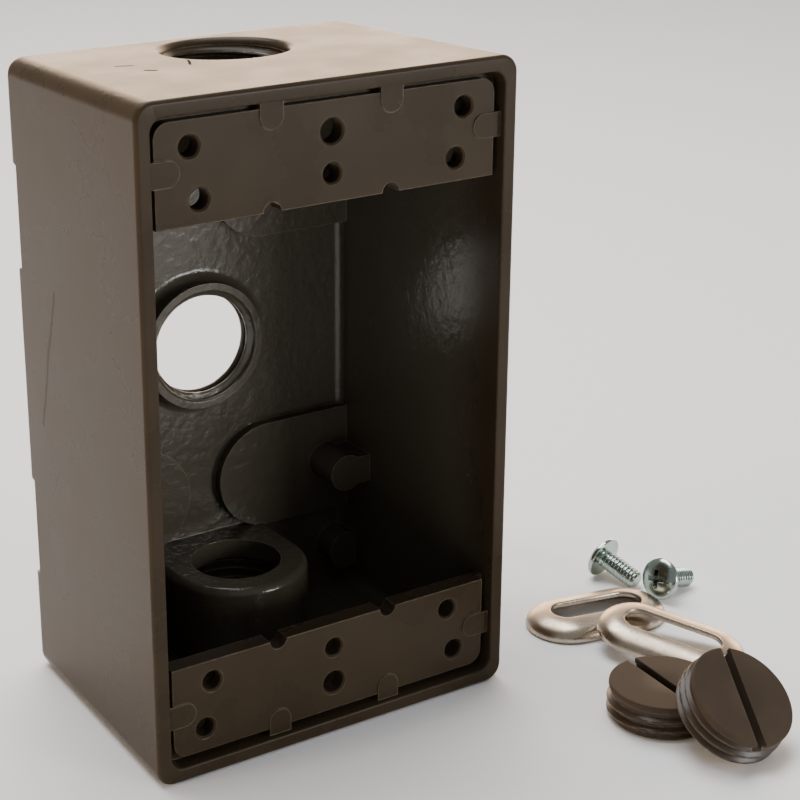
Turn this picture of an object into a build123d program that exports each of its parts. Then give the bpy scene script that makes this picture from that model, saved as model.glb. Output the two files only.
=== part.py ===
from build123d import *

import os
from math import atan2, cos, degrees, radians, sin

# Weatherproof one-gang outlet box, die-cast, with its loose kit beside it.
#
# Frame: millimetres, +Z up. The Z axis is the axis of the top and bottom threaded
# outlets, the origin is the centre of the bottom outlet's mouth on the base, the open
# front faces -Y and the wall side faces +Y. The kit lies on the surface the box
# stands on: two closure plugs, two mounting lugs and two lug screws.

# ---- casting ---------------------------------------------------------------------
BOX_W = 69.85            # width at the front rim, 2 3/4 in
BOX_H = 114.3            # height at the front rim, 4 1/2 in
BOX_D = 50.8             # depth, 2 in
DRAFT = 1.6              # how far the sides and the top draw in by the back
CORNER_R = 3.0           # rounding of the four edges that run front to back
INNER_CORNER_R = 2.4
BACK_EDGE_R = 2.2        # rounding round the back
BASE_TRIM = 0.02         # skimmed off the base to leave it flat
RIM_W = 2.55             # width of the rim's flat front face
WALL_BACK = 2.0          # side wall at its back end
BACK_T = 2.5             # back wall
CAVITY_R = 1.6           # rounding inside, where the side walls meet the back
RIM_OUT_R = 0.7          # softened outer and inner edges of the rim
RIM_IN_R = 0.35
ROOT = 0.2               # how far bosses and ribs are sunk into the wall they stand on
HUB_Y = 35.2             # outlet axis, measured back from the rim plane
FRONT_Y = -HUB_Y
BACK_Y = BOX_D - HUB_Y
BACK_IN_Y = BACK_Y - BACK_T
MID_Z = BOX_H / 2
TOP_Z = BOX_H - DRAFT * HUB_Y / BOX_D    # height of the drafted top at the outlet axis

# ---- threaded outlets, 1/2 in pipe thread ----------------------------------------
THREAD_R = 10.67         # major radius, bored smooth
MOUTH_R = 12.0           # rounded mouth at the outer face
THROAT_R = 8.3           # smooth stop at the inner end of the top and bottom outlets
THREAD_LEN = 15.0
HUB_LEN = 18.6           # from the outer face to the inner end
HUB_R = 13.2             # outside of the cast boss round the bore
HUB_EDGE_R = 1.4
BACK_HUB_R = 11.9
BACK_HUB_LEN = 6.0       # from the wall face to the inner end
BACK_MOUTH = 0.6
BACK_FOOT_R = 2.0        # blend of the back collar into the wall

# ---- device flanges at the top and bottom of the opening --------------------------
FLANGE_RECESS = 1.5      # behind the rim
FLANGE_T = 3.2
FLANGE_EDGE = 20.1       # free edge, measured in from the box's top or bottom face
FLANGE_GAP = 1.15        # gutter between the flange's face and the rim
GUTTER_DEEP = 1.8
FLANGE_CORNER_R = 2.6
NOTCH_X = 11.0
NOTCH_R = 1.6
PAD_R = 2.1              # D-shaped ejector pads that bridge the gutter
PAD_X = 11.0
PAD_REACH = 7.1          # rounded end, measured in from the box's top or bottom face
PAD_SIDE_Z = 45.6        # side pads, above and below mid height
PAD_SIDE_REACH = 27.0    # rounded end of the side pads, from the centre line
PAD_RAISE = 0.3

COVER_Z = 96.8           # 3 13/16 in, cover screws
DEVICE_Z = 83.34         # 3 9/32 in, device screws
CORNER_X = 50.4
CORNER_Z = 98.6
SIDE_X = 47.4
SIDE_Z = 81.9
COVER_HOLE_R = 2.0
DEVICE_HOLE_R = 1.6
CORNER_HOLE_R = 1.7
HOLE_EASE = 0.35         # chamfer at the front of every screw hole

# ---- lug grooves in the back -----------------------------------------------------
GROOVE_DEEP = 2.9
GROOVE_H = 19.6
GROOVE_TAPER = 16        # draft of the groove's walls
GROOVE_X = 3.7           # rounded inner end, from the centre line
GROOVE_Z = 28.7          # above and below mid height
GROOVE_RUN_OUT = 4.0     # how far the cut runs past the side
TONGUE_RAISE = 2.0       # the groove's back stands proud inside the box as a tongue
TONGUE_R = 10.3
TONGUE_X = 3.2
GROOVE_ZS = (MID_Z - GROOVE_Z, MID_Z + GROOVE_Z)
LUG_BOSS_X = 26.5
LUG_BOSS_R = 3.6
LUG_BOSS_LEN = 8.0
LUG_WEB_T = 5.4          # web from each boss to the side wall
LUG_HOLE_R = 1.75
LUG_HOLE_LEN = 9.0
EARTH_BOSS_X = 29.5
EARTH_BOSS_Z = 9.6
EARTH_BOSS_R = 3.8
EARTH_BOSS_LEN = 5.0

# ---- loose kit -------------------------------------------------------------------
PLUG_R = 9.85            # thread crest
PLUG_FACE_R = 9.55
PLUG_ROOT_R = 9.1
PLUG_T = 6.4
PLUG_FACE_T = 1.1        # plain band under the slotted face
PLUG_PITCH = 1.814       # 14 threads to the inch
PLUG_THREADS = 3
PLUG_START = 0.8         # first thread crest above the inner end
PLUG_HALF_THREAD = 0.76
PLUG_SLOT_W = 1.8
PLUG_SLOT_DEEP = 2.0

LUG_L = 28.2
LUG_W = 15.6
LUG_H = 3.4
LUG_T = 1.2
LUG_SLOT_W = 6.0
LUG_LIP = 0.6            # upright edge below the curve

SCREW_R = 1.95           # 8-32 thread crest
SCREW_LEN = 8.5          # under the head
SCREW_TIP = 0.5          # chamfer at the tip
SCREW_HEAD_R = 4.2
SCREW_HEAD_H = 2.0
SCREW_DOME_R = 1.5
SCREW_RECESS_W = 1.1
SCREW_RECESS_L = 4.4
SCREW_RECESS_DEEP = 1.1


def upright(y):
    """Plane facing -Y at the given Y, whose own axes are the part's X and Z."""
    return Plane.XZ.offset(-y)


def leaning(x, y, z, heading, tilt, turn=0.0):
    """Plane at a point, its normal leaning by tilt degrees towards heading."""
    a = radians(heading)
    t = radians(tilt)
    normal = Vector(sin(t) * cos(a), sin(t) * sin(a), cos(t))
    level = Vector(-sin(a), cos(a), 0)
    return Plane(origin=(x, y, z), x_dir=level.rotate(Axis((0, 0, 0), normal), turn), z_dir=normal)


# ---- where the kit lies ----------------------------------------------------------
PLUG_LEFT_SEAT = leaning(50.8, -61.1, 0, 0, 0)
PLUG_LEFT_SLOT = 176.4
PLUG_LEAN = 33.9         # the right plug leans on the left one
PLUG_RIGHT_Z = PLUG_ROOT_R * sin(radians(PLUG_LEAN))
PLUG_RIGHT_SEAT = leaning(53.3, -73.7, PLUG_RIGHT_Z, -80.3, PLUG_LEAN)
PLUG_RIGHT_SLOT = 65.5

LUG_LEFT_SEAT = leaning(63.7, -27.4, 0, 0, 0, -101.5)
LUG_RIGHT_SEAT = leaning(66.4, -45.6, 2.04, -90.4, 8.8, -60)   # one end on the left lug

# a screw lies on the rim of its head and the edge of its tip
SCREW_LEAN = 90 - degrees(atan2(SCREW_HEAD_R - SCREW_R, SCREW_LEN - SCREW_TIP))
SCREW_Z = SCREW_HEAD_R * sin(radians(SCREW_LEAN))
SCREW_LEFT_SEAT = leaning(77.3, -13.6, SCREW_Z, 101.5, SCREW_LEAN)
SCREW_RIGHT_SEAT = leaning(80.7, -26.8, SCREW_Z, 188.8, SCREW_LEAN)


# ---- box body --------------------------------------------------------------------
with BuildPart() as cavity:
    front_w = BOX_W - 2 * RIM_W
    front_h = BOX_H - 2 * RIM_W
    back_w = BOX_W - 2 * DRAFT - 2 * WALL_BACK
    back_h = BOX_H - DRAFT - RIM_W - WALL_BACK
    with BuildSketch(upright(FRONT_Y)):
        with Locations((0, MID_Z)):
            RectangleRounded(front_w, front_h, INNER_CORNER_R)
    with BuildSketch(upright(BACK_IN_Y)):
        with Locations((0, RIM_W + back_h / 2)):
            RectangleRounded(back_w, back_h, INNER_CORNER_R)
    loft(ruled=True)
    fillet(cavity.faces().sort_by(Axis.Y)[-1].edges(), CAVITY_R)

with BuildPart() as box_body:
    with BuildSketch(upright(FRONT_Y)):
        with Locations((0, (BOX_H - BASE_TRIM) / 2)):
            RectangleRounded(BOX_W, BOX_H + BASE_TRIM, CORNER_R)
    with BuildSketch(upright(BACK_Y)):
        with Locations((0, (BOX_H - DRAFT - BASE_TRIM) / 2)):
            RectangleRounded(BOX_W - 2 * DRAFT, BOX_H - DRAFT + BASE_TRIM, CORNER_R)
    loft(ruled=True)
    fillet(box_body.faces().sort_by(Axis.Y)[-1].edges(), BACK_EDGE_R)
    add(cavity.part, mode=Mode.SUBTRACT)
    rim = box_body.faces().sort_by(Axis.Y)[0]
    fillet(rim.outer_wire().edges(), RIM_OUT_R)
    rim = box_body.faces().sort_by(Axis.Y)[0]
    fillet(rim.inner_wires()[0].edges(), RIM_IN_R)
    with BuildSketch(Plane.XY):
        Rectangle(2 * BOX_W, 4 * BOX_D)
    extrude(amount=-1, mode=Mode.SUBTRACT)

    # bosses round the top and bottom outlets, run back into the wall side
    wall_side = BACK_Y - BACK_T / 2
    for inner_z, reach in ((HUB_LEN, -(HUB_LEN - RIM_W / 2)), (TOP_Z - HUB_LEN, HUB_LEN - RIM_W)):
        with BuildSketch(Plane.XY.offset(inner_z)):
            Circle(HUB_R)
            with Locations((0, wall_side / 2)):
                Rectangle(2 * HUB_R, wall_side)
        extrude(amount=reach)
    for inner_z in (HUB_LEN, TOP_Z - HUB_LEN):
        level_faces = box_body.faces().filter_by(Axis.Z)
        hub_face = level_faces.filter_by_position(Axis.Z, inner_z - 0.01, inner_z + 0.01)
        fillet(hub_face.edges().filter_by(GeomType.CIRCLE), HUB_EDGE_R)

    # collar round the back outlet
    with BuildSketch(upright(BACK_IN_Y + ROOT)):
        with Locations((0, MID_Z)):
            Circle(BACK_HUB_R)
    extrude(amount=BACK_HUB_LEN - BACK_T + ROOT)
    foot = box_body.edges().filter_by(GeomType.CIRCLE).filter_by(
        lambda e: abs(e.radius - BACK_HUB_R) < 0.01 and abs(e.center().Y - BACK_IN_Y) < 0.05
    )
    fillet(foot, BACK_FOOT_R)

    # raised tongues inside, each behind a lug groove
    tongue_x = TONGUE_X + TONGUE_R
    side_x = BOX_W / 2 - DRAFT - WALL_BACK / 2
    for side in (-1, 1):
        for groove_z in GROOVE_ZS:
            with BuildSketch(upright(BACK_IN_Y + ROOT)):
                with Locations((side * tongue_x, groove_z)):
                    Circle(TONGUE_R)
                with Locations((side * (tongue_x + side_x) / 2, groove_z)):
                    Rectangle(side_x - tongue_x, 2 * TONGUE_R)
            extrude(amount=TONGUE_RAISE + ROOT)

    # blind bosses for the lug screws, webbed to the side wall
    for side in (-1, 1):
        for groove_z in GROOVE_ZS:
            with BuildSketch(upright(BACK_IN_Y - TONGUE_RAISE + ROOT)):
                with Locations((side * LUG_BOSS_X, groove_z)):
                    Circle(LUG_BOSS_R)
                with Locations((side * (LUG_BOSS_X + side_x) / 2, groove_z)):
                    Rectangle(side_x - LUG_BOSS_X, LUG_WEB_T)
            extrude(amount=LUG_BOSS_LEN + ROOT)

    # boss for the earthing screw, low on the right
    with BuildSketch(upright(BACK_IN_Y + ROOT)):
        with Locations((EARTH_BOSS_X, EARTH_BOSS_Z)):
            Circle(EARTH_BOSS_R)
    extrude(amount=EARTH_BOSS_LEN + ROOT)

    # lug grooves, open at the sides
    groove_r = GROOVE_H / 2
    groove_x = GROOVE_X + groove_r
    groove_end = BOX_W / 2 + GROOVE_RUN_OUT
    for side in (-1, 1):
        for groove_z in GROOVE_ZS:
            with BuildSketch(upright(BACK_Y)):
                with Locations((side * groove_x, groove_z)):
                    Circle(groove_r)
                with Locations((side * (groove_x + groove_end) / 2, groove_z)):
                    Rectangle(groove_end - groove_x, 2 * groove_r)
            extrude(amount=GROOVE_DEEP, taper=GROOVE_TAPER, mode=Mode.SUBTRACT)
            with BuildSketch(upright(BACK_Y)):
                with Locations((side * LUG_BOSS_X, groove_z)):
                    Circle(LUG_HOLE_R)
            extrude(amount=LUG_HOLE_LEN, mode=Mode.SUBTRACT)

    # device flanges: a full-width shelf with a raised face inside a gutter
    flange_front = FRONT_Y + FLANGE_RECESS
    gutter_y = flange_front + GUTTER_DEEP
    flange_w = BOX_W - 2 * RIM_W
    flange_h = FLANGE_EDGE - RIM_W
    for end in (-1, 1):
        shelf_mid = MID_Z + end * (MID_Z - FLANGE_EDGE + flange_h / 2)
        with BuildSketch(upright(flange_front + FLANGE_T)):
            with Locations((0, shelf_mid + end * ROOT)):
                Rectangle(flange_w + 2 * ROOT, flange_h + 2 * ROOT)
        extrude(amount=FLANGE_T - GUTTER_DEEP)
        face_w = flange_w - 2 * FLANGE_GAP
        face_h = flange_h - FLANGE_GAP
        face_mid = MID_Z + end * (MID_Z - FLANGE_EDGE + face_h / 2)
        with BuildSketch(upright(gutter_y + ROOT)) as flange_face:
            with Locations((0, face_mid)):
                Rectangle(face_w, face_h)
            fillet(flange_face.vertices().group_by(Axis.Y)[0 if end < 0 else -1], FLANGE_CORNER_R)
        extrude(amount=GUTTER_DEEP + ROOT)

        # D-shaped ejector pads
        rim_z = MID_Z + end * (MID_Z - RIM_W / 2)
        pad_z = MID_Z + end * (MID_Z - PAD_REACH + PAD_R)
        side_z = MID_Z + end * PAD_SIDE_Z
        rim_x = BOX_W / 2 - RIM_W / 2
        side_pad_x = PAD_SIDE_REACH + PAD_R
        with BuildSketch(upright(gutter_y)):
            with Locations((-PAD_X, pad_z), (PAD_X, pad_z), (-side_pad_x, side_z), (side_pad_x, side_z)):
                Circle(PAD_R)
            with Locations((-PAD_X, (pad_z + rim_z) / 2), (PAD_X, (pad_z + rim_z) / 2)):
                Rectangle(2 * PAD_R, abs(rim_z - pad_z))
            with Locations((-(side_pad_x + rim_x) / 2, side_z), ((side_pad_x + rim_x) / 2, side_z)):
                Rectangle(rim_x - side_pad_x, 2 * PAD_R)
        extrude(amount=GUTTER_DEEP + PAD_RAISE)

        # notches in the free edge, then the screw holes
        notch_z = MID_Z + end * (MID_Z - FLANGE_EDGE)
        with BuildSketch(upright(flange_front)):
            with Locations((-NOTCH_X, notch_z), (NOTCH_X, notch_z)):
                Circle(NOTCH_R)
        extrude(amount=-FLANGE_T, mode=Mode.SUBTRACT)
        holes = (
            (0, COVER_Z, COVER_HOLE_R),
            (0, DEVICE_Z, DEVICE_HOLE_R),
            (-CORNER_X / 2, CORNER_Z, CORNER_HOLE_R),
            (CORNER_X / 2, CORNER_Z, CORNER_HOLE_R),
            (-SIDE_X / 2, SIDE_Z, CORNER_HOLE_R),
            (SIDE_X / 2, SIDE_Z, CORNER_HOLE_R),
        )
        for x, spacing, radius in holes:
            with BuildSketch(upright(flange_front)):
                with Locations((x, MID_Z + end * spacing / 2)):
                    Circle(radius)
            extrude(amount=-FLANGE_T, mode=Mode.SUBTRACT)

    # eased edges of the screw holes
    hole_edges = box_body.edges().filter_by(GeomType.CIRCLE).filter_by(
        lambda e: e.is_closed and e.radius < COVER_HOLE_R + 0.1 and abs(e.center().Y - flange_front) < 0.01
    )
    chamfer(hole_edges, HOLE_EASE)

    # bores of the top and bottom outlets; the top one has a rounded mouth
    for mouth_z, inward in ((0, 1), (TOP_Z, -1)):
        for radius, length in ((THREAD_R, THREAD_LEN), (THROAT_R, HUB_LEN + 1)):
            with BuildSketch(Plane.XY.offset(mouth_z - inward)):
                Circle(radius)
            extrude(amount=inward * (length + 1), mode=Mode.SUBTRACT)
    top_faces = box_body.faces().filter_by_position(Axis.Z, TOP_Z - 1, TOP_Z + 1)
    top_face = top_faces.sort_by(SortBy.AREA)[-1]
    fillet(top_face.inner_wires().edges(), MOUTH_R - THREAD_R)

    # bore of the back outlet
    with BuildSketch(upright(BACK_Y)):
        with Locations((0, MID_Z)):
            Circle(THREAD_R)
    extrude(amount=BACK_HUB_LEN + 1, mode=Mode.SUBTRACT)
    back_mouth = box_body.edges().filter_by(GeomType.CIRCLE).filter_by(
        lambda e: abs(e.radius - THREAD_R) < 0.01 and abs(e.center().Y - BACK_Y) < 0.05
    )
    chamfer(back_mouth, BACK_MOUTH)


# ---- closure plugs ---------------------------------------------------------------
def make_plug(seat, slot_turn):
    """Slotted threaded disc, its inner end on the seat plane and its slotted face up."""
    with BuildPart() as plug:
        with BuildSketch(seat):
            Circle(PLUG_ROOT_R)
        extrude(amount=PLUG_T)
        with BuildSketch(seat.offset(PLUG_T)):
            Circle(PLUG_FACE_R)
        extrude(amount=-PLUG_FACE_T)
        for turn in range(PLUG_THREADS):
            crest_h = PLUG_START + turn * PLUG_PITCH
            for root_h in (crest_h - PLUG_HALF_THREAD, crest_h + PLUG_HALF_THREAD):
                with BuildSketch(seat.offset(root_h)):
                    Circle(PLUG_ROOT_R)
                with BuildSketch(seat.offset(crest_h)):
                    Circle(PLUG_R)
                loft()
        with BuildSketch(seat.offset(PLUG_T)):
            Rectangle(3 * PLUG_R, PLUG_SLOT_W, rotation=slot_turn)
        extrude(amount=-PLUG_SLOT_DEEP, mode=Mode.SUBTRACT)
    return plug


closure_plug_left = make_plug(PLUG_LEFT_SEAT, PLUG_LEFT_SLOT)
closure_plug_right = make_plug(PLUG_RIGHT_SEAT, PLUG_RIGHT_SLOT)


# ---- mounting lugs ---------------------------------------------------------------
# section of the pressed strip on one side of the slot: a quarter oval above a lip
with BuildSketch() as strip:
    reach = (LUG_W - LUG_SLOT_W) / 2
    rise = LUG_H - LUG_LIP
    oval_centre = (LUG_SLOT_W / 2, LUG_LIP)
    with BuildLine():
        outer = EllipticalCenterArc(oval_centre, reach, rise, arc_size=90)
        inner = EllipticalCenterArc(oval_centre, reach - LUG_T, rise - LUG_T, arc_size=90)
        Line(outer @ 1, inner @ 1)
        Polyline(outer @ 0, (LUG_W / 2, 0), (LUG_W / 2 - LUG_T, 0), inner @ 0)
    make_face()


def make_lug(seat):
    """Slotted oval cup pressed from strip, its rim on the seat plane and its dome up."""
    straight = LUG_L - LUG_W
    across = Plane(origin=seat.origin, x_dir=seat.y_dir, z_dir=seat.x_dir)
    with BuildPart() as lug:
        with BuildSketch(across.offset(-straight / 2)):
            add(strip.sketch_local)
            mirror(about=Plane.YZ)
        extrude(amount=straight)
        for end in (-1, 1):
            end_plane = across.offset(end * straight / 2)
            with BuildSketch(end_plane):
                add(strip.sketch_local)
            revolve(axis=Axis(end_plane.origin, seat.z_dir), revolution_arc=-end * 180)
    return lug


mounting_lug_left = make_lug(LUG_LEFT_SEAT)
mounting_lug_right = make_lug(LUG_RIGHT_SEAT)


# ---- lug screws ------------------------------------------------------------------
def make_screw(seat):
    """Round-head screw, the underside of its head on the seat plane, shank along -z."""
    with BuildPart() as screw:
        with BuildSketch(seat):
            Circle(SCREW_HEAD_R)
        extrude(amount=SCREW_HEAD_H)
        top_edge = screw.faces().sort_by(Axis(seat.origin, seat.z_dir))[-1].edges()
        fillet(top_edge, SCREW_DOME_R)
        with BuildSketch(seat):
            Circle(SCREW_R)
        extrude(amount=-SCREW_LEN)
        tip = screw.faces().sort_by(Axis(seat.origin, seat.z_dir))[0]
        chamfer(tip.edges(), SCREW_TIP)
        with BuildSketch(seat.offset(SCREW_HEAD_H)):
            Rectangle(SCREW_RECESS_L, SCREW_RECESS_W)
            Rectangle(SCREW_RECESS_W, SCREW_RECESS_L)
        extrude(amount=-SCREW_RECESS_DEEP, mode=Mode.SUBTRACT)
    return screw


lug_screw_left = make_screw(SCREW_LEFT_SEAT)
lug_screw_right = make_screw(SCREW_RIGHT_SEAT)


# ---- labels and export -----------------------------------------------------------
pieces = {
    "box_body": box_body,
    "closure_plug_left": closure_plug_left,
    "closure_plug_right": closure_plug_right,
    "mounting_lug_left": mounting_lug_left,
    "mounting_lug_right": mounting_lug_right,
    "lug_screw_left": lug_screw_left,
    "lug_screw_right": lug_screw_right,
}
os.makedirs("parts", exist_ok=True)
for name, piece in pieces.items():
    piece.part.label = name
    export_step(piece.part, f"parts/{name}.step")
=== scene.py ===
# %% [markdown]
# A weatherproof outlet box stands on its end, its open front towards us, with the
# loose kit that comes with it: two closure plugs, two mounting lugs and two screws.
# The casting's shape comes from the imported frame. The loose kit is made again here with
# finer detail, from the same dimensions and places as in the part's source. Threads,
# paint, plating, soft light and a camera are then added.

# %% Load the frame
from math import atan2, cos, pi, radians, sin

import bmesh
import bpy
import numpy as np
from mathutils import Matrix, Vector


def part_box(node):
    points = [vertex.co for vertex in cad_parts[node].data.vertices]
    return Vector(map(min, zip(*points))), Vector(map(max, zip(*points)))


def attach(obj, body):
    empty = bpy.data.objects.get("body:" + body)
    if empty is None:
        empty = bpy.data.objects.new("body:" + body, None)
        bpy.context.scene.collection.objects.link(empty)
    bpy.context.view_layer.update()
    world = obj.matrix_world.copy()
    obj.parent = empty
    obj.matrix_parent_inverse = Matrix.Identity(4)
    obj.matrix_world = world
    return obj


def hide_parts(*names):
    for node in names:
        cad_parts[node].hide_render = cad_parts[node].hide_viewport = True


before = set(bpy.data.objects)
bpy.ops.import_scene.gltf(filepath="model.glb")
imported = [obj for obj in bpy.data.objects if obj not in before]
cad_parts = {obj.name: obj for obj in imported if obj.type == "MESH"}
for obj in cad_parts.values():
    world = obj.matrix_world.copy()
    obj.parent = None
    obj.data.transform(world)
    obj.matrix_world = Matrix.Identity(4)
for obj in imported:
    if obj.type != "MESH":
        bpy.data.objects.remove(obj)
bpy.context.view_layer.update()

MM = 0.001
print("frame nodes:", sorted(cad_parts))

# %% [markdown]
# Most pieces here are surfaces of revolution with something extra: a screw thread is
# a ripple that climbs once per turn. So one helper is enough to make them all. It
# takes a grid of points worked out with numpy and joins neighbours with quads. A
# modelling tool could spin a profile too, but a formula keeps the thread exact.


# %% From a grid of points to a mesh
def grid_mesh(name, grid, wrap_columns=False):
    """Join point (i, j) of an (n, m, 3) grid to (i+1, j), (i+1, j+1) and (i, j+1)."""
    rows, columns = grid.shape[:2]
    i = np.arange(rows)
    j = np.arange(columns if wrap_columns else columns - 1)
    i, j = np.meshgrid(i, j, indexing="ij")
    i2, j2 = (i + 1) % rows, (j + 1) % columns
    quads = np.stack([i * columns + j, i2 * columns + j, i2 * columns + j2, i * columns + j2], -1)
    quads = quads.reshape(-1, 4)
    mesh = bpy.data.meshes.new(name)
    mesh.from_pydata(grid.reshape(-1, 3).tolist(), [], quads.tolist())
    weld(mesh)
    piece = bpy.data.objects.new(name, mesh)
    bpy.context.scene.collection.objects.link(piece)
    return piece


def weld(mesh, distance=2e-6):
    """Join points that lie on each other, such as all those of a pole, and face outwards."""
    joined = bmesh.new()
    joined.from_mesh(mesh)
    bmesh.ops.remove_doubles(joined, verts=joined.verts, dist=distance)
    bmesh.ops.dissolve_degenerate(joined, edges=joined.edges, dist=1e-7)
    bmesh.ops.recalc_face_normals(joined, faces=joined.faces)
    joined.to_mesh(mesh)
    joined.free()


def soften(piece, crease=34):
    """Smooth shading, kept crisp at every edge that folds by more than crease degrees."""
    piece.data.shade_smooth()
    piece.data.set_sharp_from_angle(angle=radians(crease))
    even = piece.modifiers.new("even_light", "WEIGHTED_NORMAL")
    even.keep_sharp = True
    even.weight = 60
    return piece


def place(grid, origin, right, forward, up):
    """Carry a grid from a piece's own axes to where the piece lies."""
    return np.asarray(origin) + grid @ np.array([right, forward, up])


print("helpers ready")

# %% [markdown]
# A round thread is a height on a cylinder. At angle a and height h the thread stands
# out by a ripple of (h / pitch - a / full turn), and going once round shifts the
# ripple by exactly one pitch, so the surface closes on itself. The ripple is a
# triangle with its tip and root cut flat, which is how pipe and machine threads look.


# %% Thread ripple
def ripple(height, angle, pitch, flat=0.22):
    """1 on the crest and 0 in the root: a clipped triangle wave climbing once per turn."""
    phase = (height / pitch - angle / (2 * pi)) % 1.0
    triangle = 1 - np.abs(2 * phase - 1)
    return np.clip((triangle - flat) / (1 - 2 * flat), 0, 1)


def fade(height, low, high, run):
    """Rises from 0 at low to 1 one run later, and falls back to 0 at high."""
    return np.clip((height - low) / run, 0, 1) * np.clip((high - height) / run, 0, 1)


PIPE_PITCH = 1.814 * MM
turn = np.linspace(0, 2 * pi, 160, endpoint=False)
print("thread crests per mm:", round(MM / PIPE_PITCH, 3))

# %% [markdown]
# The three outlets are tapped for pipe. The frame's bores are smooth, so each gets a
# thin sleeve: its outside is sunk a hair into the casting, its inside is the thread.
# The ripple fades in at the mouth, where the tap enters, so that no tooth is cut off
# square. One section, carried round the axis, makes the whole closed sleeve.


# %% Threaded sleeves of the outlets
MAJOR_R, MINOR_R = 10.62 * MM, 9.35 * MM
SLEEVE_R = 10.72 * MM
THREAD_END = 14.98 * MM        # of the top and bottom threads, in from the mouth
BACK_THREAD_END = 5.97 * MM
THREAD_RUN_OUT = 0.9 * MM
POINTS_PER_PITCH = 16


def sleeve(start, end, lead_low, lead_high):
    """Closed tube along +Z from start to end: threaded inside, plain outside."""
    steps = int((end - start) / PIPE_PITCH * POINTS_PER_PITCH)
    height = np.linspace(start, end, steps)
    angle = turn[:, None]
    tooth = ripple(height[None], angle, PIPE_PITCH)
    bite = np.clip((height - start) / lead_low, 0, 1) * np.clip((end - height) / lead_high, 0, 1)
    inner = MAJOR_R - (MAJOR_R - MINOR_R) * tooth * bite[None]
    radius = np.concatenate([inner, np.full((len(turn), 2), SLEEVE_R)], 1)
    level = np.concatenate([height, [end, start]])[None] + 0 * radius
    return np.stack([radius * np.cos(angle), radius * np.sin(angle), level], -1)


top_z = 113.19 * MM            # the top face slopes, so its outlet's mouth is below the rim
back_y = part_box("box_body")[1].y
mid_z = 57.15 * MM
up, across, away = np.array([0, 0, 1.0]), np.array([1.0, 0, 0]), np.array([0, 1.0, 0])

bottom_grid = sleeve(0.05 * MM, THREAD_END, 2.4 * MM, THREAD_RUN_OUT)
top_grid = sleeve(1.34 * MM, THREAD_END, 1.6 * MM, THREAD_RUN_OUT)
back_grid = sleeve(0.62 * MM, BACK_THREAD_END, 1.5 * MM, 1.1 * MM)
SLEEVES = {
    "bottom_outlet_thread": place(bottom_grid, (0, 0, 0), across, away, up),
    "top_outlet_thread": place(top_grid, (0, 0, top_z), across, -away, -up),
    "back_outlet_thread": place(back_grid, (0, back_y, mid_z), across, up, -away),
}
sleeves = [grid_mesh(name, grid, wrap_columns=True) for name, grid in SLEEVES.items()]
for piece in sleeves:
    soften(piece, 50)
    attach(piece, "box")
    print(piece.name, len(piece.data.polygons), "faces")

# %% [markdown]
# The casting itself has the right shape already, but its triangles are loose, and
# light breaks at every facet of a fillet. A copy with the points joined can be shaded
# smoothly. Its sharp edges stay in the mesh, and the paint further down rounds them in
# the light, because no die-cast edge is sharp: metal doesn't fill a knife edge.


# %% The casting
def merged_copy(node, name):
    """A copy of a frame node whose touching points are joined."""
    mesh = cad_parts[node].data.copy()
    mesh.name = name
    mesh.materials.clear()
    stored = mesh.attributes.get("custom_normal")
    if stored:
        mesh.attributes.remove(stored)
    weld(mesh)
    piece = bpy.data.objects.new(name, mesh)
    bpy.context.scene.collection.objects.link(piece)
    return piece


casting = merged_copy("box_body", "casting")
soften(casting, 30)
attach(casting, "box")
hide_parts("box_body")
print("casting:", len(casting.data.vertices), "points")

# %% [markdown]
# Each loose piece lies at its own slant, so it is first worked out standing upright
# at the origin and then carried to its seat. A seat is a point, the way the piece
# faces, and a turn about that. The same few numbers place the frame's solids, and
# compare prints how far each piece's corners lie from those of its solid.


# %% Seats of the loose pieces
def seat_axes(heading, tilt, spin=0.0):
    """Right, forward and up of a piece leaning by tilt towards heading, turned by spin."""
    a, t = radians(heading), radians(tilt)
    normal = Vector((sin(t) * cos(a), sin(t) * sin(a), cos(t)))
    level = Matrix.Rotation(radians(spin), 3, normal) @ Vector((-sin(a), cos(a), 0))
    return np.array(level), np.array(normal.cross(level)), np.array(normal)


def compare(piece, node):
    """Print how far a piece's corners lie from those of the solid it stands for."""
    points = np.empty(len(piece.data.vertices) * 3)
    piece.data.vertices.foreach_get("co", points)
    points = points.reshape(-1, 3)
    low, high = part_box(node)
    off = np.concatenate([points.min(0) - np.array(low), points.max(0) - np.array(high)])
    print(node, "corner differences in mm:", np.round(off / MM, 2))


# %% [markdown]
# A closure plug is a short threaded disc with a flat face and a screwdriver slot cut
# right across it. Disc and thread come from one profile. The slot is cut with a
# boolean, as a cutter would, and a fine bevel takes the edge off both.

# %% Closure plugs
PLUG_FACE_R, PLUG_ROOT_R, PLUG_CREST_R = 9.55 * MM, 9.0 * MM, 9.83 * MM
PLUG_T, PLUG_FACE_T = 6.4 * MM, 1.0 * MM
SLOT_W, SLOT_DEEP = 1.8 * MM, 2.0 * MM
BLADE_L = 30 * MM              # longer than the plug is wide, so the slot runs right across


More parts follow.
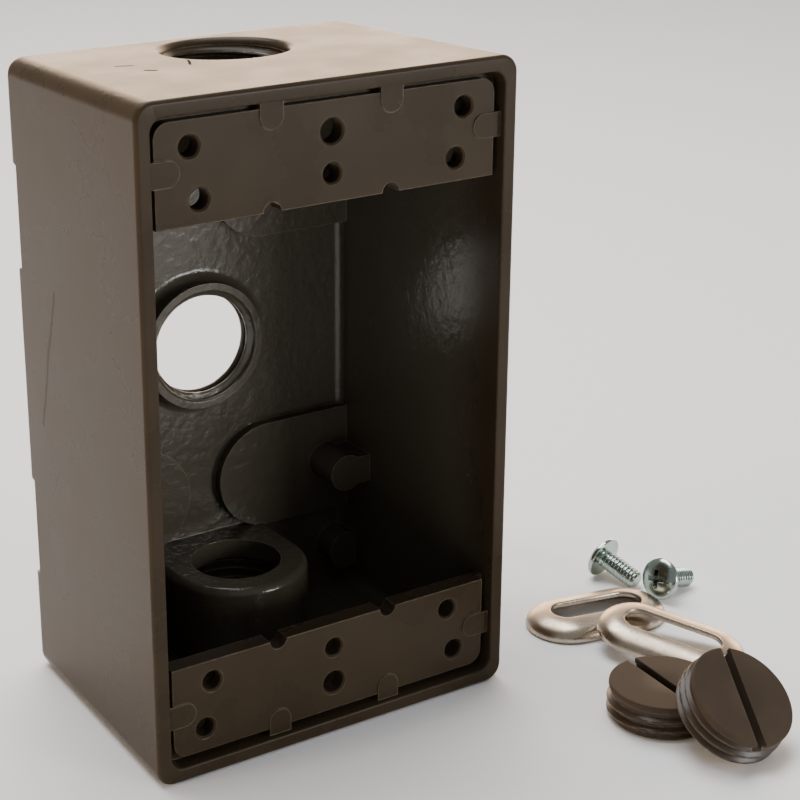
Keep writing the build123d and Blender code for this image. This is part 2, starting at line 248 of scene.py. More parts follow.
def plug_grid(start_angle):
    """Disc profile from the centre of the inner end, up the thread, to the face's centre."""
    thread = np.linspace(0.12 * MM, PLUG_T - PLUG_FACE_T, 62)
    angle = turn[:, None]
    tooth = ripple(thread[None], angle + start_angle, PIPE_PITCH, 0.16)
    depth = (PLUG_CREST_R - PLUG_ROOT_R) * tooth * fade(thread, 0, PLUG_T - 1.5 * MM, 0.7 * MM)[None]
    bite = np.clip((thread - PLUG_T + 1.9 * MM) / (0.7 * MM), 0, 1)
    wall = PLUG_ROOT_R + depth + 0.12 * MM * bite
    corner = np.linspace(0, pi / 2, 5)
    rim_r = PLUG_FACE_R - 0.3 * MM + 0.3 * MM * np.cos(corner)
    rim_h = PLUG_T - 0.3 * MM + 0.3 * MM * np.sin(corner)
    under = np.array([[0, 0], [0.5 * PLUG_ROOT_R, 0], [PLUG_ROOT_R - 0.2 * MM, 0]])
    lip = np.array([[PLUG_FACE_R - 0.12 * MM, PLUG_T - PLUG_FACE_T + 0.02 * MM]])
    lip = np.concatenate([lip, [[PLUG_FACE_R, PLUG_T - PLUG_FACE_T + 0.16 * MM]]])
    face = np.array([[0.5 * PLUG_FACE_R, PLUG_T], [0, PLUG_T]])
    around = np.ones((len(turn), 1))
    radius = np.concatenate(
        [around * under[:, 0], wall, around * lip[:, 0], around * rim_r, around * face[:, 0]], 1
    )
    level = np.concatenate([under[:, 1], thread, lip[:, 1], rim_h, face[:, 1]])[None] * around
    return np.stack([radius * np.cos(angle), radius * np.sin(angle), level], -1)


def box_cutter(length, width, low, high, spin):
    """Eight corners of a cutting block, turned by spin about the piece's own axis."""
    x, y, z = np.meshgrid([-length / 2, length / 2], [-width / 2, width / 2], [low, high], indexing="ij")
    a = radians(spin)
    return np.stack([x * cos(a) - y * sin(a), x * sin(a) + y * cos(a), z], -1).reshape(-1, 3)


BLOCK_FACES = [(0, 1, 3, 2), (4, 6, 7, 5), (0, 4, 5, 1), (2, 3, 7, 6), (0, 2, 6, 4), (1, 5, 7, 3)]


def cut(piece, corners, faces=BLOCK_FACES):
    """Take a closed block away from a piece and keep the result as its mesh."""
    mesh = bpy.data.meshes.new("cutter")
    mesh.from_pydata(corners.tolist(), [], faces)
    weld(mesh)
    cutter = bpy.data.objects.new("cutter", mesh)
    bpy.context.scene.collection.objects.link(cutter)
    boolean = piece.modifiers.new("cut", "BOOLEAN")
    boolean.object = cutter
    boolean.solver = "EXACT"
    apply_modifiers(piece)
    bpy.data.objects.remove(cutter)


def apply_modifiers(piece):
    """Bake the modifiers into the mesh, so that the piece is a plain mesh again."""
    bpy.context.view_layer.update()
    done = bpy.data.meshes.new_from_object(piece.evaluated_get(bpy.context.evaluated_depsgraph_get()))
    piece.modifiers.clear()
    piece.data = done


def make_plug(name, origin, heading, tilt, slot_turn, start_angle, body, node):
    """One closure plug on its seat, riding on its own body."""
    right, forward, normal = seat_axes(heading, tilt)
    plug = grid_mesh(name, place(plug_grid(start_angle), origin, right, forward, normal))
    blade = box_cutter(BLADE_L, SLOT_W, PLUG_T - SLOT_DEEP, PLUG_T + 1 * MM, slot_turn)
    cut(plug, place(blade, origin, right, forward, normal))
    ease = plug.modifiers.new("eased_edges", "BEVEL")
    ease.width = 0.12 * MM
    ease.segments = 2
    ease.limit_method = "ANGLE"
    ease.angle_limit = radians(60)
    apply_modifiers(plug)
    soften(plug, 40)
    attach(plug, body)
    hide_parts(node)
    compare(plug, node)
    plug_seats[name] = Vector(origin), Vector(normal)
    return plug


plug_seats = {}
PLUG_LEAN = 33.9
plug_left = make_plug(
    "plug_left", np.array([50.8, -61.1, 0]) * MM, 0, 0, 176.4, 0.6, "plug_left", "closure_plug_left"
)
plug_right_z = 9.1 * sin(radians(PLUG_LEAN))
plug_right = make_plug(
    "plug_right", np.array([53.3, -73.7, plug_right_z]) * MM, -80.3, PLUG_LEAN, 65.5, 2.2,
    "plug_right", "closure_plug_right",
)

# %% [markdown]
# A mounting lug is pressed from strip into an upturned oval cup with a slot along its
# top. Cut it across and the section is a quarter oval of even thickness with rounded
# edges. Carried round a racetrack path, that section makes the whole lug at once.

# %% Mounting lugs
LUG_L, LUG_W, LUG_H, LUG_T = 28.2 * MM, 15.6 * MM, 3.4 * MM, 1.2 * MM
LUG_SLOT_W, LUG_LIP = 6.0 * MM, 0.6 * MM


def lug_section():
    """Distance from the path and height round the strip's section: out, over, in, under."""
    reach, rise = (LUG_W - LUG_SLOT_W) / 2, LUG_H - LUG_LIP
    a = np.linspace(0, pi / 2, 22)
    nose = np.linspace(0, pi, 9)[1:-1]
    start = LUG_SLOT_W / 2
    outer = np.stack([start + reach * np.cos(a), LUG_LIP + rise * np.sin(a)], -1)
    outer[-1, 0] = start + 0.25 * MM
    edge_r = 0.28 * MM
    slot_edge = np.stack([start + edge_r * (1 - np.sin(nose)), LUG_H - LUG_T * (1 - np.cos(nose)) / 2], -1)
    back = a[::-1]
    inner = [start + (reach - LUG_T) * np.cos(back), LUG_LIP + (rise - LUG_T) * np.sin(back)]
    inner = np.stack(inner, -1)
    inner[0, 0] = start + 0.25 * MM
    foot_mid = LUG_W / 2 - LUG_T / 2
    foot = np.stack([foot_mid - LUG_T / 2 * np.cos(nose), 0.3 * MM - 0.3 * MM * np.sin(nose)], -1)
    return np.concatenate([outer, slot_edge, inner, foot])


def lug_grid():
    """The section carried round a racetrack: two half circles joined by two straights."""
    straight = LUG_L - LUG_W
    bend = np.linspace(-pi / 2, pi / 2, 49)
    run = np.linspace(0, 1, 14)[1:-1]
    facing = np.concatenate([bend, np.full(len(run), pi / 2), bend + pi, np.full(len(run), -pi / 2)])
    centre = np.concatenate(
        [np.full(len(bend), straight / 2), straight / 2 - straight * run,
         np.full(len(bend), -straight / 2), straight * run - straight / 2]
    )
    section = lug_section()
    x = centre[:, None] + np.cos(facing)[:, None] * section[None, :, 0]
    y = np.sin(facing)[:, None] * section[None, :, 0]
    z = section[None, :, 1] + 0 * x
    return np.stack([x, y, z], -1)


def make_lug(name, origin, heading, tilt, spin, node):
    """One lug on its seat, riding on its own body."""
    lug = grid_mesh(name, place(lug_grid(), origin, *seat_axes(heading, tilt, spin)), wrap_columns=True)
    soften(lug, 60)
    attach(lug, name)
    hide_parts(node)
    compare(lug, node)
    return lug


lug_left = make_lug("lug_left", np.array([63.7, -27.4, 0]) * MM, 0, 0, -101.5, "mounting_lug_left")
lug_right = make_lug(
    "lug_right", np.array([66.4, -45.6, 2.04]) * MM, -90.4, 8.8, -60, "mounting_lug_right"
)

# %% [markdown]
# The screws have a low domed head with a cross recess and a short machine thread.
# Profile and thread are made as for the plugs, and the recess is a tapered cross cut
# into the dome. Each one lies on the edge of its head and the edge of its tip.

# %% Lug screws
SCREW_R, SCREW_ROOT_R, SCREW_PITCH = 1.95 * MM, 1.62 * MM, 0.794 * MM
SCREW_LEN, HEAD_R, HEAD_H = 8.5 * MM, 4.2 * MM, 2.0 * MM
spiral = np.linspace(0, 2 * pi, 72, endpoint=False)


def screw_grid():
    """Profile from the tip's centre, up the thread and over the head to its centre."""
    thread = np.linspace(-SCREW_LEN + 0.35 * MM, -0.5 * MM, 120)
    tooth = ripple(thread[None], spiral[:, None], SCREW_PITCH, 0.2)
    bite = fade(thread, -SCREW_LEN, -0.45 * MM, 0.6 * MM)
    wall = SCREW_ROOT_R + (SCREW_R - SCREW_ROOT_R) * tooth * bite[None]
    tip = np.array([[0, -SCREW_LEN], [0.7 * MM, -SCREW_LEN], [1.42 * MM, -SCREW_LEN]])
    neck = np.array([[SCREW_ROOT_R + 0.05 * MM, -0.3 * MM], [SCREW_ROOT_R + 0.2 * MM, 0], [3.0 * MM, 0]])
    a = np.linspace(-pi / 2, 0, 5)
    edge = np.stack([HEAD_R - 0.3 * MM + 0.3 * MM * np.cos(a), 0.3 * MM + 0.3 * MM * np.sin(a)], -1)
    b = np.linspace(0, pi / 2, 20)[1:]
    dome = np.stack([HEAD_R * np.cos(b), 0.45 * MM + (HEAD_H - 0.45 * MM) * np.sin(b)], -1)
    around = np.ones((len(spiral), 1))
    rest = np.concatenate([neck, edge, dome])
    radius = np.concatenate([around * tip[:, 0], wall, around * rest[:, 0]], 1)
    level = np.concatenate([tip[:, 1], thread, rest[:, 1]])[None] * around
    angle = spiral[:, None]
    return np.stack([radius * np.cos(angle), radius * np.sin(angle), level], -1)


def cross_arm(spin):
    """A tapered bar, wide at the dome and narrow at the bottom of the recess."""
    x = np.array([-0.9, 0.9, 0.9, -0.9, -2.3, 2.3, 2.3, -2.3]) * MM
    y = np.array([-0.35, -0.35, 0.35, 0.35, -0.55, -0.55, 0.55, 0.55]) * MM
    z = np.array([0.45, 0.45, 0.45, 0.45, 2.4, 2.4, 2.4, 2.4]) * MM
    a = radians(spin)
    return np.stack([x * cos(a) - y * sin(a), x * sin(a) + y * cos(a), z], -1)


ARM_FACES = [(0, 3, 2, 1), (4, 5, 6, 7), (0, 1, 5, 4), (1, 2, 6, 5), (2, 3, 7, 6), (3, 0, 4, 7)]
SCREW_LEAN = 90 - np.degrees(atan2(HEAD_R - SCREW_R, SCREW_LEN - 0.5 * MM))


def make_screw(name, x, y, heading, spin, node):
    """One screw lying on its head's edge and its tip."""
    origin = np.array([x, y, HEAD_R / MM * sin(radians(SCREW_LEAN))]) * MM
    axes = seat_axes(heading, SCREW_LEAN)
    screw = grid_mesh(name, place(screw_grid(), origin, *axes))
    for arm in (spin, spin + 90):
        cut(screw, place(cross_arm(arm), origin, *axes), ARM_FACES)
    soften(screw, 40)
    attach(screw, name)
    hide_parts(node)
    compare(screw, node)
    return screw


screw_left = make_screw("screw_left", 77.3, -13.6, 101.5, 20, "lug_screw_left")
screw_right = make_screw("screw_right", 80.7, -26.8, 188.8, 10, "lug_screw_right")

# %% [markdown]
# Paint and plating share a few effects, and each effect is a node group, built once
# with named sockets and set to its own values in each material. All of them read
# object coordinates, so a pattern stays put when a piece moves. Heights are in
# metres, which lets a Bump node with a distance of 1 use them as they are.


# %% Node helpers
def add(tree, kind, links=(), **settings):
    """Add a node, set its properties, and fill its sockets from links or values."""
    made = tree.nodes.new(kind)
    for key, value in settings.items():
        setattr(made, key, value)
    for socket, source in dict(links).items():
        if isinstance(source, bpy.types.NodeSocket):
            tree.links.new(source, made.inputs[socket])
        else:
            made.inputs[socket].default_value = source
    return made


def math(tree, operation, a, b=0.5, clamp=False):
    """One arithmetic step between sockets or numbers."""
    return add(tree, "ShaderNodeMath", {0: a, 1: b}, operation=operation, use_clamp=clamp).outputs[0]


def vector_math(tree, operation, a, b):
    """One step of vector arithmetic. Its outputs are by name, Vector or Value."""
    return add(tree, "ShaderNodeVectorMath", {0: a, 1: b}, operation=operation).outputs


def noise(tree, where, scale, detail, **more):
    """A noise texture node on given coordinates."""
    return add(tree, "ShaderNodeTexNoise", {"Vector": where, "Scale": scale, "Detail": detail, **more})


def object_place(tree):
    """Object coordinates, in which a pattern stays put when its piece moves."""
    return add(tree, "ShaderNodeTexCoord").outputs["Object"]


def between(tree, value, low, high, to_low=0.0, to_high=1.0):
    """Stretch low..high to to_low..to_high, smoothly and without leaving that range."""
    step = add(
        tree, "ShaderNodeMapRange",
        {"Value": value, "From Min": low, "From Max": high, "To Min": to_low, "To Max": to_high},
        interpolation_type="SMOOTHSTEP",
    )
    return step.outputs["Result"]


def blend_colour(tree, amount, first, second):
    """Mix two colours by a mask."""
    mix = tree.nodes.new("ShaderNodeMix")
    mix.data_type = "RGBA"
    for socket, source in ((mix.inputs[0], amount), (mix.inputs[6], first), (mix.inputs[7], second)):
        if isinstance(source, bpy.types.NodeSocket):
            tree.links.new(source, socket)
        else:
            socket.default_value = source
    return mix.outputs[2]


def new_group(name, inputs, outputs):
    """An empty shader group with float inputs (name, value) and named float outputs."""
    group = bpy.data.node_groups.new(name, "ShaderNodeTree")
    for label, value in inputs:
        group.interface.new_socket(label, in_out="INPUT", socket_type="NodeSocketFloat").default_value = value
    for label in outputs:
        group.interface.new_socket(label, in_out="OUTPUT", socket_type="NodeSocketFloat")
    return group, group.nodes.new("NodeGroupInput").outputs, group.nodes.new("NodeGroupOutput").inputs


print("node helpers ready")

# %% [markdown]
# Edge wear and edge glint: the Bevel node gives the normal the surface would have if its
# edges were rounded. Where that differs from the real normal there is an edge. The whole
# edge serves as a painted highlight, the thin pale line a rounded edge catches from the
# light. A noise breaks it up into worn patches: paint is thinnest on a corner, and a
# corner is where things rub.

# %% Edge wear and painted edge highlight group
edge_wear_and_glint, source, result = new_group("edge_wear_and_glint", [("Radius", 0.0004), ("Breakup", 900.0)], ["Edge", "Worn"])
rounded = add(edge_wear_and_glint, "ShaderNodeBevel", {"Radius": source["Radius"]}, samples=4)
flat_normal = add(edge_wear_and_glint, "ShaderNodeNewGeometry").outputs["Normal"]
likeness = vector_math(edge_wear_and_glint, "DOT_PRODUCT", rounded.outputs[0], flat_normal)["Value"]
edge = between(edge_wear_and_glint, math(edge_wear_and_glint, "SUBTRACT", 1.0, likeness), 0.01, 0.2)
patches = noise(edge_wear_and_glint, object_place(edge_wear_and_glint), source["Breakup"], 3.0)
worn = math(edge_wear_and_glint, "MULTIPLY", edge, between(edge_wear_and_glint, patches.outputs[0], 0.42, 0.62))
edge_wear_and_glint.links.new(edge, result["Edge"])
edge_wear_and_glint.links.new(worn, result["Worn"])
print("edge_wear_and_glint has", len(edge_wear_and_glint.nodes), "nodes")

# %% [markdown]
# Sprayed paint dries with a fine orange peel over the slow swells of the die, and its
# tone clouds a little from place to place. One group gives both heights and a tone.

# %% Paint skin group
paint_skin, source, result = new_group(
    "paint_skin",
    [("Peel Height", 1.4e-6), ("Swell Height", 1.5e-5), ("Tone Scale", 70.0)],
    ["Height", "Tone"],
)
place_on = object_place(paint_skin)
peel = noise(paint_skin, place_on, 1500.0, 2.0)
swell = noise(paint_skin, place_on, 85.0, 1.0)
tone = noise(paint_skin, place_on, source["Tone Scale"], 5.0)
fine = math(paint_skin, "MULTIPLY", peel.outputs[0], source["Peel Height"])
slow = math(paint_skin, "MULTIPLY", swell.outputs[0], source["Swell Height"])
paint_skin.links.new(math(paint_skin, "ADD", fine, slow), result["Height"])
paint_skin.links.new(between(paint_skin, tone.outputs[0], 0.3, 0.7), result["Tone"])
print("paint_skin has", len(paint_skin.nodes), "nodes")

# %% [markdown]
# A casting is tumbled in a bin with others before it is painted, so its faces carry
# small scattered dings. Voronoi cells scatter them: each cell holds one ding, only
# some cells are picked, and the distance to the cell's point shapes the dimple.

# %% Dings group
DING_SHAKE = 0.9 * MM          # how far the cells' edges are shaken out of round
dings, source, result = new_group(
    "dings",
    [("Scale", 95.0), ("Share", 0.2), ("Width", 0.07), ("Depth", 3e-5)],
    ["Ding", "Height"],
)
place_on = object_place(dings)
wobble = noise(dings, place_on, 1100.0, 2.0).outputs["Color"]
shaken = vector_math(dings, "MULTIPLY", wobble, (DING_SHAKE,) * 3)["Vector"]
moved = vector_math(dings, "ADD", place_on, shaken)["Vector"]
cells = add(dings, "ShaderNodeTexVoronoi", {"Vector": moved, "Scale": source["Scale"]})
share = add(dings, "ShaderNodeSeparateColor", {0: cells.outputs["Color"]}).outputs[0]
picked = math(dings, "LESS_THAN", share, source["Share"])
near = between(dings, cells.outputs["Distance"], 0.0, source["Width"], 1.0, 0.0)
ding = math(dings, "MULTIPLY", picked, near)
dings.links.new(ding, result["Ding"])
drop = math(dings, "MULTIPLY", ding, source["Depth"])
dings.links.new(math(dings, "MULTIPLY", drop, -1.0), result["Height"])
print("dings has", len(dings.nodes), "nodes")

# %% [markdown]
# Four marks sit where they were made: a nick and two short scuffs on the top face, and
# a long faint rub on the left side. A mark is a thin stroke between two points, and its
# distance field is that of a line segment, so one group draws all of them.

# %% Stroke group
STROKE_SWAY = 1.6 * MM         # how far a stroke wanders from its straight line
stroke = bpy.data.node_groups.new("stroke", "ShaderNodeTree")
for label in ("Start", "End"):
    stroke.interface.new_socket(label, in_out="INPUT", socket_type="NodeSocketVector")
stroke.interface.new_socket("Width", in_out="INPUT", socket_type="NodeSocketFloat").default_value = 0.0002
stroke.interface.new_socket("Mark", in_out="OUTPUT", socket_type="NodeSocketFloat")
source = stroke.nodes.new("NodeGroupInput").outputs
result = stroke.nodes.new("NodeGroupOutput").inputs
place_on = object_place(stroke)
sway = noise(stroke, place_on, 160.0, 3.0).outputs["Color"]
sway = vector_math(stroke, "SUBTRACT", sway, (0.5, 0.5, 0.5))["Vector"]
sway = vector_math(stroke, "MULTIPLY", sway, (STROKE_SWAY,) * 3)["Vector"]
swayed = vector_math(stroke, "ADD", place_on, sway)["Vector"]
along = vector_math(stroke, "SUBTRACT", source["End"], source["Start"])["Vector"]
offset = vector_math(stroke, "SUBTRACT", swayed, source["Start"])["Vector"]
reach = vector_math(stroke, "DOT_PRODUCT", offset, along)["Value"]
span = vector_math(stroke, "DOT_PRODUCT", along, along)["Value"]
part_way = math(stroke, "DIVIDE", reach, span, clamp=True)
foot = add(stroke, "ShaderNodeVectorMath", {0: along, "Scale": part_way}, operation="SCALE")
apart = vector_math(stroke, "DISTANCE", offset, foot.outputs["Vector"])["Value"]
faded = math(stroke, "DIVIDE", apart, source["Width"], clamp=True)
stroke.links.new(math(stroke, "SUBTRACT", 1.0, faded), result["Mark"])
print("stroke has", len(stroke.nodes), "nodes")

# %% [markdown]
# The hollow is never tumbled or rubbed, so it keeps the lumpy skin of the die under a
# wetter coat of paint. A mask that is 1 inside a block of space turns that skin on and
# fades it in behind the mouth. The block reaches through the back wall into the grooves,
# so the mask also leaves out every face that looks backwards.

# %% Hollow group
hollow, source, result = new_group("hollow", [("Lump Height", 1.5e-4)], ["Inside", "Height"])
place_on = object_place(hollow)
axis = add(hollow, "ShaderNodeSeparateXYZ", {0: place_on}).outputs
INSIDE = {"X": (-0.0325, 0.0325), "Y": (-0.0335, 0.0140), "Z": (0.0025, 0.1108)}
FULL_SKIN_Y = -0.0200          # the lumpy skin fades in from the front of the block to here
BACKWARDS = 0.5                # a face whose normal has more +Y than this looks backwards
lining = add(hollow, "ShaderNodeNewGeometry").outputs["True Normal"]
lining = add(hollow, "ShaderNodeSeparateXYZ", {0: lining}).outputs["Y"]
inside = math(hollow, "LESS_THAN", lining, BACKWARDS)
for label, (low, high) in INSIDE.items():
    above = math(hollow, "GREATER_THAN", axis[label], low)
    below = math(hollow, "LESS_THAN", axis[label], high)
    inside = math(hollow, "MULTIPLY", inside, math(hollow, "MULTIPLY", above, below))
inside = math(hollow, "MULTIPLY", inside, between(hollow, axis["Y"], INSIDE["Y"][0], FULL_SKIN_Y))
lumps = noise(hollow, place_on, 520.0, 3.0, Roughness=0.6)
pocks = add(hollow, "ShaderNodeTexVoronoi", {"Vector": place_on, "Scale": 620.0}, feature="SMOOTH_F1")
lumpy = math(hollow, "ADD", lumps.outputs[0], math(hollow, "MULTIPLY", pocks.outputs["Distance"], 0.35))
raised = math(hollow, "MULTIPLY", math(hollow, "MULTIPLY", lumpy, source["Lump Height"]), inside)
hollow.links.new(inside, result["Inside"])
hollow.links.new(raised, result["Height"])
print("hollow has", len(hollow.nodes), "nodes")

# %% [markdown]
# Plating is thin and follows the metal under it: faint drawing lines from the strip,
# cloudy patches where the bath was uneven, and a few dull spots.

# %% Plating group
plating, source, result = new_group(
    "plating", [("Line Height", 1.5e-6), ("Cloud Scale", 160.0)], ["Height", "Cloud", "Spots"]
)
place_on = object_place(plating)
stretch = add(plating, "ShaderNodeMapping", {"Vector": place_on, "Scale": (4200.0, 500.0, 900.0)})
lines = noise(plating, stretch.outputs[0], 1.0, 2.0)
cloud = noise(plating, place_on, source["Cloud Scale"], 4.0)
spots = noise(plating, place_on, 1300.0, 3.0)
plating.links.new(math(plating, "MULTIPLY", lines.outputs[0], source["Line Height"]), result["Height"])
plating.links.new(between(plating, cloud.outputs[0], 0.35, 0.65), result["Cloud"])
plating.links.new(between(plating, spots.outputs[0], 0.6, 0.72), result["Spots"])
print("plating has", len(plating.nodes), "nodes")

# %% [markdown]
# Bronze paint is a dark brown enamel. Its colour clouds a little, is paler where the
# edges have rubbed, carries a painted highlight along every edge, is lifted by painted
# light in the hollow, and its gloss drops in the dings, which are also drawn darker.
# The box and the plugs share the recipe, but the plugs are paler and flatter, with a
# glossier coat and brighter painted edge highlights on their threads.


# %% Bronze paint
def shader_of(material):
    """The material's node tree and its Principled shader."""
    material.use_nodes = True
    tree = material.node_tree
    return tree, next(n for n in tree.nodes if n.type == "BSDF_PRINCIPLED")


def use_group(tree, group, **values):
    """Place a group in a material with this material's own values."""
    placed = tree.nodes.new("ShaderNodeGroup")
    placed.node_tree = group
    for label, value in values.items():
        placed.inputs[label.replace("_", " ")].default_value = value
    return placed.outputs


def round_and_bump(tree, shader, height, radius):
    """Light the surface as if its edges were rounded, with a relief of height metres."""
    rounding = add(tree, "ShaderNodeBevel", {"Radius": radius}, samples=4)
    relief = {"Height": height, "Distance": 1.0, "Normal": rounding.outputs[0]}
    bump = add(tree, "ShaderNodeBump", relief)
    tree.links.new(bump.outputs[0], shader.inputs["Normal"])


def draw_stroke(tree, start, end, width):
    """One mark between two points of a surface."""
    placed = tree.nodes.new("ShaderNodeGroup")
    placed.node_tree = stroke
    placed.inputs["Start"].default_value = start
    placed.inputs["End"].default_value = end
    placed.inputs["Width"].default_value = width
    return placed.outputs["Mark"]


def bronze_paint(name, dark, light, worn_edge_and_glint, gloss, mirror, share, strokes=()):
    """Enamel over a casting: tone from paint_skin, pale rubs and a painted edge highlight from
    edge_wear_and_glint, painted light in the hollow, dull dark dings.
    """
    material = bpy.data.materials.new(name)
    tree, shader = shader_of(material)
    skin = use_group(tree, paint_skin)
    wear = use_group(tree, edge_wear_and_glint, Radius=0.00035)
    marks = use_group(tree, dings, Share=share)
    cast = use_group(tree, hollow)
    tumbled = math(tree, "MULTIPLY", marks["Ding"], math(tree, "SUBTRACT", 1.0, cast["Inside"]))
    enamel = blend_colour(tree, skin["Tone"], dark, light)
    # Painted light: the hollow is tinted a paler olive, partly the raw-cast skin's own colour, partly
    # standing in for the light that hardly reaches inside.
    enamel = blend_colour(tree, math(tree, "MULTIPLY", cast["Inside"], 0.8), enamel, HOLLOW_TONE_AND_PAINTED_FILL)
    # Dings are drawn darker, towards a near-black tone.
    enamel = blend_colour(tree, math(tree, "MULTIPLY", tumbled, 0.4), enamel, DARK_MARK_TONE)
    scored = 0.0
    for start, end, width, strength in strokes:
        mark = between(tree, draw_stroke(tree, start, end, width), 0.05, 0.7, 0.0, strength)
        scored = math(tree, "MAXIMUM", scored, mark)
    enamel = blend_colour(tree, math(tree, "MULTIPLY", scored, 0.75), enamel, DARK_MARK_TONE)
    # Painted highlight: every edge is paled a little, as a rounded edge would catch the light; the Worn
    # patches on top of it are real rubbed wear.
    edge_glint = math(tree, "MULTIPLY", wear["Edge"], 0.45)
    wear_and_glint = math(tree, "ADD", edge_glint, math(tree, "MULTIPLY", wear["Worn"], 0.5))
    final = blend_colour(tree, wear_and_glint, enamel, worn_edge_and_glint)
    tree.links.new(final, shader.inputs["Base Color"])
    rough = math(tree, "ADD", gloss, math(tree, "MULTIPLY", skin["Tone"], 0.08))
    rough = math(tree, "ADD", rough, math(tree, "MULTIPLY", tumbled, 0.15))
    rough = math(tree, "ADD", rough, math(tree, "MULTIPLY", scored, 0.45))
    rough = math(tree, "SUBTRACT", rough, math(tree, "MULTIPLY", cast["Inside"], 0.06))
    tree.links.new(rough, shader.inputs["Roughness"])
    shader.inputs["Metallic"].default_value = 0.0
    wet = math(tree, "ADD", mirror, math(tree, "MULTIPLY", cast["Inside"], 0.35))
    wet = math(tree, "MULTIPLY", wet, math(tree, "SUBTRACT", 1.0, math(tree, "MULTIPLY", scored, 0.9)))
    tree.links.new(wet, shader.inputs["Specular IOR Level"])
    relief = math(tree, "ADD", math(tree, "ADD", skin["Height"], marks["Height"]), cast["Height"])
    relief = math(tree, "SUBTRACT", relief, math(tree, "MULTIPLY", scored, 6e-5))
    round_and_bump(tree, shader, relief, 0.25 * MM)
    return material


THREAD_FROM_R = 0.93 * PLUG_ROOT_R
# Dings and marks are drawn darker, towards this near-black tone.
DARK_MARK_TONE = (0.012, 0.009, 0.006, 1)
# Paler tone of the hollow: part its own colour, part painted light for the dim inside.
HOLLOW_TONE_AND_PAINTED_FILL = (0.069, 0.060, 0.043, 1)


def touch(x, y, z):
    """The point of the casting closest to a place given in millimetres."""
    return casting.closest_point_on_mesh(Vector((x, y, z)) * MM)[1]


bpy.context.view_layer.update()
BOX_MARKS = [
    (touch(-10.7, -6.5, 114), touch(-13.1, -12.7, 114), 0.00035, 1.0),
    (touch(-35.0, -1.1, 75.9), touch(-35.0, 6.6, 50.5), 0.00070, 0.22),
    (touch(-22.5, -4.6, 114), touch(-20.4, -5.6, 114), 0.00055, 0.7),
    (touch(-20.6, -11.4, 114), touch(-19.4, -12.5, 114), 0.00060, 1.0),
]
box_paint = bronze_paint(
    "box_bronze_paint", (0.032, 0.0225, 0.0132, 1), (0.040, 0.0280, 0.0165, 1), (0.21, 0.17, 0.12, 1),
    0.25, 0.10, 0.16, BOX_MARKS,
)
plug_paint = bronze_paint(
    "plug_bronze_paint", (0.044, 0.032, 0.023, 1), (0.056, 0.041, 0.029, 1), (0.10, 0.08, 0.06, 1),
    0.50, 0.06, 0.05,
)
thread_paint = bronze_paint(
    "plug_thread_paint", (0.034, 0.025, 0.018, 1), (0.044, 0.032, 0.023, 1), (0.20, 0.17, 0.12, 1),
    0.25, 0.30, 0.0,
)
for piece in [casting] + sleeves:
    piece.data.materials.append(box_paint)
for piece in (plug_left, plug_right):
    piece.data.materials.clear()
    piece.data.materials.append(plug_paint)
    piece.data.materials.append(thread_paint)
    centre, axis = plug_seats[piece.name]
    for face in piece.data.polygons:
        arm = face.center - centre
        level = arm.dot(axis)
        outward = (arm - level * axis).length
        face.material_index = int(outward > THREAD_FROM_R and level < PLUG_T - PLUG_FACE_T)
    print(piece.name, "thread faces:", sum(f.material_index for f in piece.data.polygons))
print("painted:", [p.name for p in [casting, plug_left, plug_right] + sleeves])

# %% [markdown]
# The lugs have a warm satin plating and the screws a bright, faintly green zinc. Both
# are full metals, so colour lives in the reflection, and the clouds shift it a little
# and the gloss more.


# %% Plated metals
def plated(name, clean, cloudy, dull, smooth, rough, line_height):
    """Plated steel: colour and gloss from the plating group."""
    material = bpy.data.materials.new(name)
    tree, shader = shader_of(material)
    skin = use_group(tree, plating, Line_Height=line_height)
    wear = use_group(tree, edge_wear_and_glint, Radius=0.0002)
    tint = blend_colour(tree, skin["Cloud"], clean, cloudy)
    spotted = blend_colour(tree, math(tree, "MULTIPLY", skin["Spots"], 0.5), tint, dull)
    final = blend_colour(tree, math(tree, "MULTIPLY", wear["Worn"], 0.3), spotted, clean)
    tree.links.new(final, shader.inputs["Base Color"])
    gloss = between(tree, skin["Cloud"], 0.0, 1.0, smooth, rough)
    gloss = math(tree, "ADD", gloss, math(tree, "MULTIPLY", skin["Spots"], 0.12))
    tree.links.new(gloss, shader.inputs["Roughness"])
    shader.inputs["Metallic"].default_value = 1.0
    round_and_bump(tree, shader, skin["Height"], 0.15 * MM)
    return material


lug_plating = plated(
    "warm_satin_plating", (0.50, 0.42, 0.33, 1), (0.40, 0.33, 0.26, 1), (0.26, 0.22, 0.17, 1),
    0.26, 0.36, 2e-6,
)
zinc_plating = plated(
    "bright_zinc", (0.42, 0.50, 0.46, 1), (0.32, 0.38, 0.34, 1), (0.20, 0.22, 0.19, 1),
    0.14, 0.24, 1e-6,
)
for pieces, finish in (((lug_left, lug_right), lug_plating), ((screw_left, screw_right), zinc_plating)):
    for piece in pieces:
        piece.data.materials.clear()
        piece.data.materials.append(finish)
print("plated:", lug_plating.name, zinc_plating.name)

# %% [markdown]
# Small metal parts are shot on a white sweep. The floor is plain and pale. Behind the
# box and to its right stands a bright warm wall, which its top mirrors at a shallow
# angle. The rest of the room is dim, so the front faces, seen nearly square, stay dark.

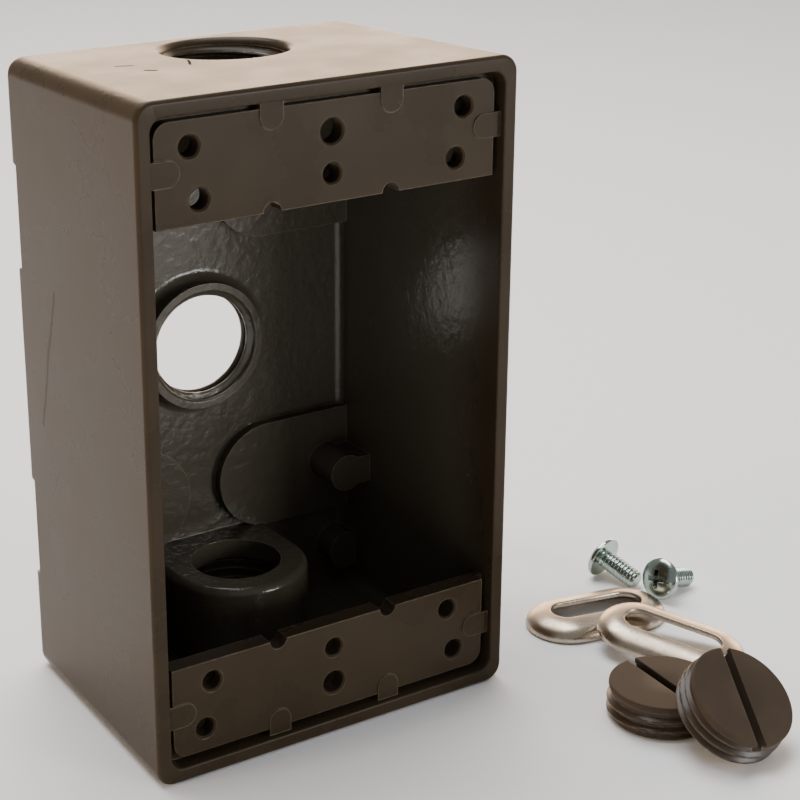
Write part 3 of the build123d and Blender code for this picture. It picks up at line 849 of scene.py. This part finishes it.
# %% Floor and world
floor_side = 6.0
floor_z = -0.05 * MM           # a hair below the pieces, so that no faces coincide
floor_mesh = bpy.data.meshes.new("floor")
corner = floor_side / 2
floor_corners = [(-corner, -corner), (corner, -corner), (corner, corner), (-corner, corner)]
floor_mesh.from_pydata([(x, y, floor_z) for x, y in floor_corners], [], [(0, 1, 2, 3)])
floor = bpy.data.objects.new("floor", floor_mesh)
bpy.context.scene.collection.objects.link(floor)
sweep = bpy.data.materials.new("white_sweep")
tree, shader = shader_of(sweep)
shader.inputs["Base Color"].default_value = (0.90, 0.905, 0.92, 1)
shader.inputs["Roughness"].default_value = 0.85
shader.inputs["Specular IOR Level"].default_value = 0.1
floor_mesh.materials.append(sweep)

DIM_ROOM, WARM_WALL = (0.055, 0.055, 0.055, 1), (1.0, 0.74, 0.52, 1)
world = bpy.data.worlds.new("light_tent")
bpy.context.scene.world = world
world.use_nodes = True
tent = world.node_tree
facing = add(tent, "ShaderNodeSeparateXYZ", {0: add(tent, "ShaderNodeTexCoord").outputs["Generated"]})
behind = between(tent, facing.outputs["Y"], -0.05, 0.45)
rightwards = between(tent, facing.outputs["X"], -0.05, 0.30)
low_down = between(tent, facing.outputs["Z"], 0.36, 0.52, 1.0, 0.0)
wall = math(tent, "MULTIPLY", math(tent, "MULTIPLY", behind, rightwards), low_down)
tent_colour = blend_colour(tent, wall, DIM_ROOM, WARM_WALL)
background = next(n for n in tent.nodes if n.type == "BACKGROUND")
tent.links.new(tent_colour, background.inputs["Color"])
background.inputs["Strength"].default_value = 6.0
print("floor is", floor_side, "m square")

# %% [markdown]
# One large softbox hangs above and behind and brightens the floor. A second one stands
# on the left, for the side of the box. It is kept out of reflections, where it would
# glare on the paint. A weak one in front reaches into the hollow.


# %% Softboxes
def softbox(name, location, target, size, watts, tint=(1, 1, 1)):
    """A square area light aimed at a point."""
    light = bpy.data.lights.new(name, "AREA")
    light.size = size
    light.energy = watts
    light.color = tint
    lamp = bpy.data.objects.new(name, light)
    aim = Vector(target) - Vector(location)
    lamp.matrix_world = Matrix.Translation(location) @ aim.to_track_quat("-Z", "Y").to_matrix().to_4x4()
    bpy.context.scene.collection.objects.link(lamp)
    return lamp


softbox("overhead_softbox", (0.0, 0.25, 0.85), (0.0, 0.0, 0.0), 0.7, 10.5)
side_light = softbox("side_softbox", (-0.80, 0.10, 0.11), (0.0, 0.0, 0.06), 0.2, 5.2, (1.0, 0.74, 0.46))
side_light.visible_glossy = False
softbox("front_fill", (0.42, -0.85, 0.16), (0.0, 0.0, 0.05), 0.3, 4.6)

# %% [markdown]
# The camera stands to the left and a little above, with a long lens.

# %% Camera
CAMERA_AT = np.array([-158.72, -284.16, 175.30]) * MM
CAMERA_TURN, CAMERA_DOWN, CAMERA_ROLL = radians(-32.573), radians(19.932), radians(-0.11)
camera_data = bpy.data.cameras.new("camera")
camera_data.sensor_width = 36.0
camera_data.lens = 87.69
camera_data.shift_x = 0.075
camera_data.shift_y = -0.05
camera_data.clip_start = 0.01
camera_data.clip_end = 20.0
camera = bpy.data.objects.new("camera", camera_data)
facing_back = Vector(
    (sin(CAMERA_TURN) * cos(CAMERA_DOWN), -cos(CAMERA_TURN) * cos(CAMERA_DOWN), sin(CAMERA_DOWN))
)
to_right = Vector((0, 0, 1)).cross(facing_back).normalized()
to_top = facing_back.cross(to_right)
level = Matrix((to_right, to_top, facing_back)).transposed().to_4x4()
camera.matrix_world = Matrix.Translation(CAMERA_AT) @ level @ Matrix.Rotation(CAMERA_ROLL, 4, "Z")
bpy.context.scene.collection.objects.link(camera)
bpy.context.scene.camera = camera
print("camera looks along", [round(-v, 3) for v in facing_back])
